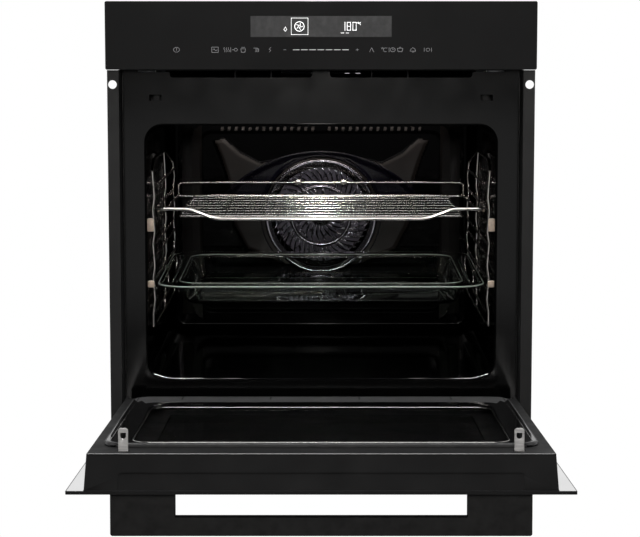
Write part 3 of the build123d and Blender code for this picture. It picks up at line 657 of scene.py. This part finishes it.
def guard_blade(bm, angle, r0, r1, rake, width, y):
    """One pressed blade of the grille, twisted so that its edge catches the light."""
    rings = []
    for i in range(7):
        t = i / 6
        r = r0 + (r1 - r0) * t
        a = angle + math.radians(rake) * t
        half = width * (0.55 + 0.45 * math.sin(math.pi * t))
        across = Vector((-math.sin(a), 0, math.cos(a)))
        centre = Vector((r * math.cos(a), y + 3.5 * (r / GUARD_R) ** 2, FAN_Z + r * math.sin(a)))
        twist = Vector((0, 1.0, 0)) * math.sin(math.pi * t)
        rings.append([centre - across * half - twist, centre - Vector((0, 0.5, 0)),
                      centre + across * half + twist, centre + Vector((0, 0.7, 0))])
    made = loft(bm, rings)
    bm.faces.new(made[0])
    bm.faces.new(made[-1][::-1])


def turned(bm, profile, steps=96):
    """Turn a profile of (radius, y) about the fan axis."""
    rings = []
    for r, y in profile:
        rings.append([(r * math.cos(2 * math.pi * k / steps), y,
                       FAN_Z + r * math.sin(2 * math.pi * k / steps)) for k in range(steps)])
    return loft(bm, rings)


def fan_guard():
    """A dished round grille: hub cap, two rings of raked blades and a rolled rim."""
    y = GUARD_LOW.y + 1.0
    bm = bmesh.new()
    cap = turned(bm, [(1, y - 1.2), (8, y - 1.0), (15, y), (17, y + 1.6), (15, y + 2.4)], 48)
    bm.faces.new(cap[0])
    turned(bm, [(45, y + 1.2), (46, y - 0.2), (48, y - 0.8), (50, y + 0.1), (51, y + 1.6),
                (48, y + 2.2), (45, y + 1.2)])
    turned(bm, [(79, y + 2.6), (80, y + 1.6), (83, y + 1.2), (86, y - 0.2), (88.5, y - 1.0),
                (91, y - 0.4), (92, y + 1.4), (92, y + 4.4)])
    for count, r0, r1, rake, width, dy in ((22, 16, 46, 24, 1.5, 0.8),
                                           (44, 50, 80.5, 17, 1.35, 0.6)):
        for k in range(count):
            guard_blade(bm, 2 * math.pi * k / count, r0, r1, rake, width, y + dy)
    obj = piece("fan_guard_grille", bm, "housing", MAT["guard_steel"], 50)
    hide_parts("fan_guard")


# ---- Cavity, racks, shelf and tray -----------------------------------------------
def cavity_lip():
    """The rolled edge where the front plate turns into the cavity mouth."""
    low, high = low_high("cavity_shell")
    face_y = low_high("front_frame")[0].y
    rect = (high.x - 1.2, low.z + 1.2, high.z - 1.2, 25.0)
    profile = [(2.2, face_y - 0.1), (1.0, face_y - 0.3), (0.0, face_y - 0.1), (-0.6, face_y + 0.5),
               (-0.8, face_y + 1.4), (-0.3, face_y + 3)]
    bm = bmesh.new()
    framed(bm, rect, profile, 12)
    piece("cavity_mouth_lip", bm, "housing", MAT["black_enamel"], 80)


SHELF_WIRE, LOOP_WIRE, CROSS_WIRE, BAR_WIRE = 2.6, 1.9, 1.35, 1.6
SHELF_GAPS, SHELF_BAR_X, GUARD_TAB_X, SHELF_GUARD_RISE = 9, 140, 37, 22
RACK_WIRE, RAIL_WIRE = 2.2, 2.0
TRAY_CORNER, TRAY_RISE = 40, 8.0


def wire_shelf():
    """Bent chrome wires: carrier with raised ears, cross wires and rear guard."""
    z, front, back = 287.4, 46.0, 420.0
    side, inner, lift = 233.0, 205.0, 301.5
    pitch = (back - front) / SHELF_GAPS
    bm = bmesh.new()
    half = [(0, front, z), (150, front, z), (187, front, lift), (side, front, lift),
            (side, front + 26, z), (side, back, z), (0, back, z)]
    for path in (half, mirror_x(half)):
        tube(bm, path, SHELF_WIRE, 14, 10, caps=False)
    loop = [(-inner, back, z), (-inner, front + pitch, z), (inner, front + pitch, z),
            (inner, back, z)]
    tube(bm, loop, LOOP_WIRE, 12, 3)
    for i in range(2, SHELF_GAPS):
        y = front + pitch * i
        tube(bm, [(-inner, y, z), (0, y, z), (inner, y, z)], CROSS_WIRE)
    for x in (-SHELF_BAR_X, SHELF_BAR_X):
        tube(bm, [(x, front, z - 0.6), (x, back, z - 0.6)], BAR_WIRE)
    reach, top = side - 2, z + SHELF_GUARD_RISE
    tube(bm, [(-reach, back, z), (-reach, back, top), (reach, back, top), (reach, back, z)],
         LOOP_WIRE, 12, 8)
    for x in (-GUARD_TAB_X, GUARD_TAB_X):
        block(bm, (x - 5, x + 5), (back - 2.5, back + 0.5), (z + 18, z + 26), 0.8)
    obj = piece("wire_shelf_chrome", bm, "wire_shelf", MAT["chrome"], 50)
    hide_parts("wire_shelf")


def side_rack(side):
    """One chrome rack: kinked uprights and a pair of rails at each level."""
    s = 1 if side == "right" else -1
    rack_x, rail_x, pitch, top_rail, gap = 240.5, 236.8, 49.4, 283.6, 17.5
    uprights = (50.0, 250.0, 424.0)
    tops = (355.0, 371.0, 343.0)
    low = top_rail - 3 * pitch - 3
    bm = bmesh.new()
    levels = [top_rail - pitch * i for i in range(4)]
    for y, top in zip(uprights, tops):
        path = [(s * rack_x, y, low)]
        for level in reversed(levels):
            middle = level + gap + (pitch - gap) / 2
            path += [(s * rack_x, y, level + gap), (s * (rack_x - 2.6), y, middle)]
        path.append((s * rack_x, y, top))
        tube(bm, path, RACK_WIRE, 12, 5)
    heights = [top_rail + pitch] + [z + d for z in levels for d in (0, gap)]
    for z in heights:
        path = [(rack_x, 48, z), (rail_x, 64, z), (rail_x, 412, z), (rack_x, 426, z)]
        tube(bm, [(s * x, y, h) for x, y, h in path], RAIL_WIRE, 12, 6)
    top = [(rack_x, 50, tops[0]), (rack_x, 70, tops[1]), (rack_x, 250, tops[1]),
           (rack_x, 424, tops[2])]
    tube(bm, [(s * x, y, h) for x, y, h in top], RACK_WIRE, 12, 8)
    obj = piece(f"side_rack_{side}_chrome", bm, "housing", MAT["chrome"], 50)
    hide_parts(f"side_rack_{side}")


def flat_ring(half_w, y_mid, half_l, r, z, steps=10):
    """A rounded rectangle in a level plane."""
    return [(x, y_mid + y, z) for x, y in rounded_outline(half_w, -half_l, half_l, r, steps)]


def glass_tray():
    """Pressed glass tray: flat rim with rounded corners, sloping walls and a flat floor."""
    low, high = low_high("glass_tray")
    y_mid, half_l = (low.y + high.y) / 2, (high.y - low.y) / 2
    half_w, top, floor = high.x, high.z, low.z

    def ring_at(inset, r, z):
        ring = flat_ring(half_w - inset, y_mid, half_l - inset, r, z)
        return [(x, y, h + TRAY_RISE * (y - low.y) / (2 * half_l)) for x, y, h in ring]

    outside = [(0, top - 2.2, 0), (0.3, top - 3.4, 0), (1.6, top - 4, 0), (26, top - 4.2, 0),
               (30, top - 7, 0), (36, floor + 5, 8), (41, floor + 0.8, 9), (46, floor, 9)]
    inside = [(46, floor + 4, 9), (42, floor + 4.8, 9), (39.5, floor + 8, 8), (33, top - 4, 0),
              (29, top - 0.6, 0), (26, top, 0), (2, top, 0), (0.4, top - 0.8, 0)]
    bm = bmesh.new()
    rings = [ring_at(inset, TRAY_CORNER - 0.25 * inset - tighter * 0.5, z)
             for inset, z, tighter in outside + inside]
    made = loft(bm, rings + rings[:1])
    first, last = made[len(outside) - 1], made[len(outside)]
    joined = [f for f in bm.faces if all(v in set(first) | set(last) for v in f.verts)]
    bmesh.ops.delete(bm, geom=joined, context="FACES_ONLY")
    bm.faces.new(first)
    bm.faces.new(last)
    obj = piece("glass_tray_pressed", bm, "glass_tray", MAT["clear_glass"], 70)
    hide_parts("glass_tray")
    # Tubes on the rims in a pale diffuse tone: painted glints for the light caught in the glass edges.
    bm = bmesh.new()
    for inset, r, z in ((0.6, 0.9, top - 1.2), (29.5, 0.5, top - 0.6)):
        ring = ring_at(inset, TRAY_CORNER - 0.25 * inset, z)
        tube(bm, ring + ring[:1], r, 8, 1)
    piece("glass_tray_rim_glints", bm, "glass_tray", TRAY_RIM_PAINTED_GLINT, 60)


def rack_bushes():
    """Small ceramic blocks that hold the front uprights off the cavity walls."""
    low, high = low_high("rack_bushes")
    bm = bmesh.new()
    for z0, z1 in ((high.z - 24, high.z - 6), (low.z, low.z + 9)):
        for s in (-1, 1):
            x0, x1 = sorted((s * 238.6, s * high.x))
            block(bm, (x0, x1), (low.y, high.y), (z0, z1), 1.2)
    obj = piece("rack_bushes_ceramic", bm, "housing", MAT["ceramic_cream"], 40)
    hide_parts("rack_bushes")


def back_wall_flanks():
    """Thin sheets on the back wall beside the baffle, in a lighter brown that is painted sheen."""
    bm = bmesh.new()
    for s in (-1, 1):
        x0, x1 = sorted((s * 211, s * 229))
        block(bm, (x0, x1), (477.2, 477.8), (86, 402), 0.2)
    piece("back_wall_flanks", bm, "housing", FLANK_PAINTED_SHEEN, 40)


def mouth_sill():
    """A bright steel bead along the bottom of the cavity mouth: a painted highlight for the light that edge
    catches.
    """
    low, high = low_high("cavity_shell")
    face_y = low_high("front_frame")[0].y
    y, z = face_y - 0.2, low.z + 1.2
    bm = bmesh.new()
    half = [(0, y, z), (high.x - 30, y, z), (high.x - 10, y, z + 7)]
    for path in (half, mirror_x(half)):
        tube(bm, path, 0.8, 10, 14)
    piece("cavity_mouth_sill", bm, "housing", HIGHLIGHT_BEAD_STEEL, 60)


# ---- Door ------------------------------------------------------------------------
DOOR_FACE_Y = 23.0
CHOKE_EDGE = (262.0, 46.0, 440.0, 30.0)
WINDOW_EDGE = (226.0, 150.0, 432.0, 22.0)
CHOKE_RISE, CHOKE_ROLL, SHEEN_TO_Z = 5.6, 3.6, 102
SLOT_X, SLOT_HALF, SLOT_Z = (-192, -70, 53, 180), 1.2, (51, 78)
FLANK_LINE_X, FLANK_LINE_Z, FLANK_LINE_R, BEAD_R = 253, (66, 424), 0.6, 0.55


def choke_ring(rect, out, y):
    """One closed line of the choke cover, that far outside a rounded rectangle."""
    half_w, z0, z1, r = rect
    outline = rounded_outline(half_w + out, z0 - out, z1 + out, r + out, 14)
    return [(x, y, z) for x, z in outline]


def choke_cover():
    """The glossy raised surround of the door window, broad towards the hinges, where its faces take a lighter grey
    that is a painted reflection of the bright surroundings.
    """
    y = DOOR_FACE_Y
    outer = [(0, y + 0.2), (0, y + 1.6), (-0.6, y + 3.4), (-1.7, y + 4.9),
             (-CHOKE_ROLL, y + CHOKE_RISE)]
    inner = [(CHOKE_ROLL, y + CHOKE_RISE), (2.0, y + 5.5), (0.7, y + 5.0), (0, y + 4.2),
             (0, y + 1.0)]
    rings = [choke_ring(CHOKE_EDGE, out, h) for out, h in outer]
    last, first = rings[-1], choke_ring(WINDOW_EDGE, *inner[0])
    for t in (0.04, 0.28, 0.54, 0.57, 0.80):
        rings.append([tuple(a + (b - a) * t for a, b in zip(p, q)) for p, q in zip(last, first)])
    rings += [choke_ring(WINDOW_EDGE, out, h) for out, h in inner]
    bm = bmesh.new()
    loft(bm, rings)
    for face in bm.faces:
        middle = face.calc_center_median()
        rolled = middle.z < 50 or middle.z > 437 or abs(middle.x) > 258.6
        # Faces below this height take the lighter grey: a painted reflection, not a different finish.
        satin = middle.z < SHEEN_TO_Z
        face.material_index = 2 if rolled else 1 if satin else 0
    obj = piece("choke_cover_gloss", bm, "door",
                [MAT["choke_black"], CHOKE_PAINTED_SHEEN, MAT["black_plastic"]], 80, True)
    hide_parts("choke_cover")


def window_bead():
    """Fine bright steel beads round the edge of the inner window and along the choke's flanks: painted highlights
    for the light these edges and slopes catch.
    """
    y = DOOR_FACE_Y + 5.2
    half_w, z0, z1, r = WINDOW_EDGE
    outline = rounded_outline(half_w + 0.4, z0 - 0.4, z1 + 0.4, r, 10)
    bm = bmesh.new()
    path = [(x, y, z) for x, z in outline + outline[:1]]
    tube(bm, path, BEAD_R, 8, 1)
    for x in (-FLANK_LINE_X, FLANK_LINE_X):
        tube(bm, [(x, y + 0.3, h) for h in FLANK_LINE_Z], FLANK_LINE_R, 8, 1)
    # These beads are painted highlights.
    piece("window_bead", bm, "door", HIGHLIGHT_BEAD_STEEL, 60, True)


def door_edge():
    """The rounded edge between the door frame's face and its end, a little polished."""
    half, y, z = 273.4, DOOR_FACE_Y - 0.3, 480.7
    bm = bmesh.new()
    tube(bm, [(-half, y, z), (0, y, z), (half, y, z)], 0.75, 10, 1)
    piece("door_frame_edge", bm, "door", EDGE_STEEL, 60, True)


def perforated_screen():
    """Enamelled screen sheet: rows of round holes inside a plain margin."""
    half_w, z0, z1, y = 201.0, 172.0, 418.0, 19.4
    pitch, hole = 4.6, 1.55
    columns = int(2 * half_w / pitch)
    rows = int((z1 - z0) / (pitch * 0.87))
    step_x, step_z = 2 * half_w / columns, (z1 - z0) / rows
    bm = bmesh.new()
    for j in range(rows):
        shift = 0.5 * step_x * (j % 2)
        for i in range(columns - (j % 2)):
            x = -half_w + step_x * (i + 0.5) + shift
            z = z0 + step_z * (j + 0.5)
            rim = [(x + hole * math.cos(math.pi * k / 4 + math.pi / 8), y,
                    z + hole * math.sin(math.pi * k / 4 + math.pi / 8)) for k in range(8)]
            hx, hz = step_x / 2, step_z / 2
            cell = [(x + hx, y, z + hz * 0.45), (x + hx * 0.45, y, z + hz),
                    (x - hx * 0.45, y, z + hz), (x - hx, y, z + hz * 0.45),
                    (x - hx, y, z - hz * 0.45), (x - hx * 0.45, y, z - hz),
                    (x + hx * 0.45, y, z - hz), (x + hx, y, z - hz * 0.45)]
            loft(bm, [cell, rim])
            for a, b, corner in ((0, 1, (hx, hz)), (2, 3, (-hx, hz)), (4, 5, (-hx, -hz)),
                                 (6, 7, (hx, -hz))):
                points = (cell[a], (x + corner[0], y, z + corner[1]), cell[b])
                bm.faces.new([bm.verts.new(point) for point in points])
    rings = []
    for w, low, high in ((half_w, z0, z1), (240, 95, 438)):
        rings.append([(w, y, high), (-w, y, high), (-w, y, low), (w, y, low)])
    loft(bm, rings)
    obj = piece("perforated_screen_holes", bm, "door", MAT["screen_steel"],
                60, True)
    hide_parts("perforated_screen")


def door_margins():
    """Mirror margins behind the outer glass, where it stands out past the door frame."""
    frame_half, glass_half, back_y, thick = 277.2, 296.3, -18.0, 0.12
    bm = bmesh.new()
    for s in (-1, 1):
        x0, x1 = sorted((s * frame_half, s * glass_half))
        block(bm, (x0, x1), (back_y, back_y + thick), (14.5, 495.5), 0)
    obj = piece("glass_mirror_margins", bm, "door", MIRROR_MARGIN, 30, True)
    obj.visible_glossy = False


def handle_seams():
    """The fine joint where each leg of the handle meets its bar."""
    low, high, seam_x, half_line = 457.0, 472.0, 172.2, 0.35
    bm = bmesh.new()
    for x in (-seam_x, seam_x):
        block(bm, (x - half_line, x + half_line), (-76.06, -53.9), (low - 0.06, high + 0.06), 0)
    piece("handle_joint_lines", bm, "door", MAT["black_plastic"], 30, True)


def choke_slots():
    """Four short pressed slots across the choke cover's hinge side."""
    y = DOOR_FACE_Y + CHOKE_RISE
    bm = bmesh.new()
    for x in SLOT_X:
        block(bm, (x - SLOT_HALF, x + SLOT_HALF), (y - 0.1, y + 0.1), SLOT_Z, 0)
    piece("choke_cover_slots", bm, "door", MAT["black_plastic"], 30, True)


# ---- Stage -----------------------------------------------------------------------
def pale_floor():
    """A pale studio floor, lit to plain white where the camera looks at it."""
    low = cad_bounds[0]
    bpy.ops.mesh.primitive_plane_add(size=30, location=(0, 0, low.z - 0.25))
    obj = bpy.context.object
    obj.name = "floor"
    shader = Shader("floor_white", (0.03, 0.03, 0.03), 0.9)
    shader.vary_color((0.0295, 0.0295, 0.0295), 2)
    glow = shader.tree.nodes.new("ShaderNodeEmission")
    path = shader.tree.nodes.new("ShaderNodeLightPath")
    mix = shader.tree.nodes.new("ShaderNodeMixShader")
    shader.link(path.outputs["Is Camera Ray"], mix.inputs["Fac"])
    shader.link(shader.bsdf.outputs["BSDF"], mix.inputs[1])
    shader.link(glow.outputs["Emission"], mix.inputs[2])
    out = shader.tree.nodes["Material Output"]
    shader.link(mix.outputs["Shader"], out.inputs["Surface"])
    obj.data.materials.append(shader.mat)


def area_light(name, location, target, size, power, color=(1, 1, 1)):
    data = bpy.data.lights.new(name, "AREA")
    data.shape = "RECTANGLE"
    data.size, data.size_y = size
    data.energy = power
    data.color = color
    obj = bpy.data.objects.new(name, data)
    bpy.context.scene.collection.objects.link(obj)
    obj.location = location
    obj.visible_camera = False
    obj.rotation_mode = "QUATERNION"
    obj.rotation_quaternion = (Vector(target) - Vector(location)).to_track_quat("-Z", "Y")
    return obj


def studio():
    """Surroundings that look white, and that light the oven brightly from behind and dimly
    from in front."""
    world = bpy.data.worlds.new("studio")
    bpy.context.scene.world = world
    world.use_nodes = True
    tree = world.node_tree
    tree.nodes.clear()
    coords = tree.nodes.new("ShaderNodeTexCoord").outputs["Generated"]
    split = tree.nodes.new("ShaderNodeSeparateXYZ")
    tree.links.new(coords, split.inputs["Vector"])
    ramp = tree.nodes.new("ShaderNodeMapRange")
    ramp.interpolation_type = "SMOOTHSTEP"
    for socket, value in (("From Min", -0.35), ("From Max", 0.4), ("To Min", 0.03),
                          ("To Max", 1.0)):
        ramp.inputs[socket].default_value = value
    tree.links.new(split.outputs["Y"], ramp.inputs["Value"])
    lit = tree.nodes.new("ShaderNodeBackground")
    tree.links.new(ramp.outputs["Result"], lit.inputs["Strength"])
    seen = tree.nodes.new("ShaderNodeBackground")
    seen.inputs["Color"].default_value = (1, 1, 1, 1)
    seen.inputs["Strength"].default_value = 1.0
    path = tree.nodes.new("ShaderNodeLightPath")
    mix = tree.nodes.new("ShaderNodeMixShader")
    out = tree.nodes.new("ShaderNodeOutputWorld")
    tree.links.new(path.outputs["Is Camera Ray"], mix.inputs["Fac"])
    tree.links.new(lit.outputs["Background"], mix.inputs[1])
    tree.links.new(seen.outputs["Background"], mix.inputs[2])
    tree.links.new(mix.outputs["Shader"], out.inputs["Surface"])


def stage():
    """White floor; a small light, a wide strip and a low softbox by the camera; softboxes
    above and beside; a small lamp at the back of the cavity."""
    pale_floor()
    area_light("key_light", (0, -2.8, 0.9), (0, 0.1, 0.3), (0.08, 0.4), 9.0, (1, 0.97, 0.94))
    area_light("strip_light", (0, -2.8, 0.76), (0, 0.1, 0.3), (1.2, 0.15), 5.6, (1, 0.98, 0.96))
    area_light("cavity_light", (0, 0.40, 0.414), (0, 0.44, 0.396), (0.36, 0.006), 0.13,
               (1, 0.93, 0.87))
    area_light("low_front_softbox", (0, -2.75, 0.03), (0, 0, 0.03), (3.0, 0.62), 1.9)
    area_light("top_softbox", (0, -0.5, 2.4), (0, -0.3, 0), (1.6, 1.2), 60)
    area_light("left_softbox", (-2.6, -0.6, 1.6), (0, -0.3, 0.1), (1.6, 1.6), 8)
    area_light("right_softbox", (2.6, -0.6, 1.6), (0, -0.3, 0.1), (1.6, 1.6), 8)
    studio()


def camera():
    data = bpy.data.cameras.new("camera")
    obj = bpy.data.objects.new("camera", data)
    bpy.context.scene.collection.objects.link(obj)
    obj.location = (-0.0015, -2.630, 0.557)
    obj.rotation_euler = (math.radians(90 - 6.09), 0, 0)
    data.sensor_width = 36
    data.lens = 106.1
    data.shift_y = -0.06
    bpy.context.scene.camera = obj


# ---- Build -----------------------------------------------------------------------
dress_cad_nodes()
for node, width in (("control_panel_glass", 0.8), ("handle", 1.0), ("door_frame", 0.7),
                    ("latch_hooks", 0.35)):
    soften(node, width)
panel_keys()
panel_display()
baffle()
dish_bead()
vent_louvres()
fan_guard()
cavity_lip()
wire_shelf()
for side in ("left", "right"):
    side_rack(side)
glass_tray()
rack_bushes()
back_wall_flanks()
mouth_sill()
choke_cover()
window_bead()
door_edge()
perforated_screen()
door_margins()
handle_seams()
choke_slots()
camera()
stage()
bpy.context.scene.view_settings.view_transform = "Standard"
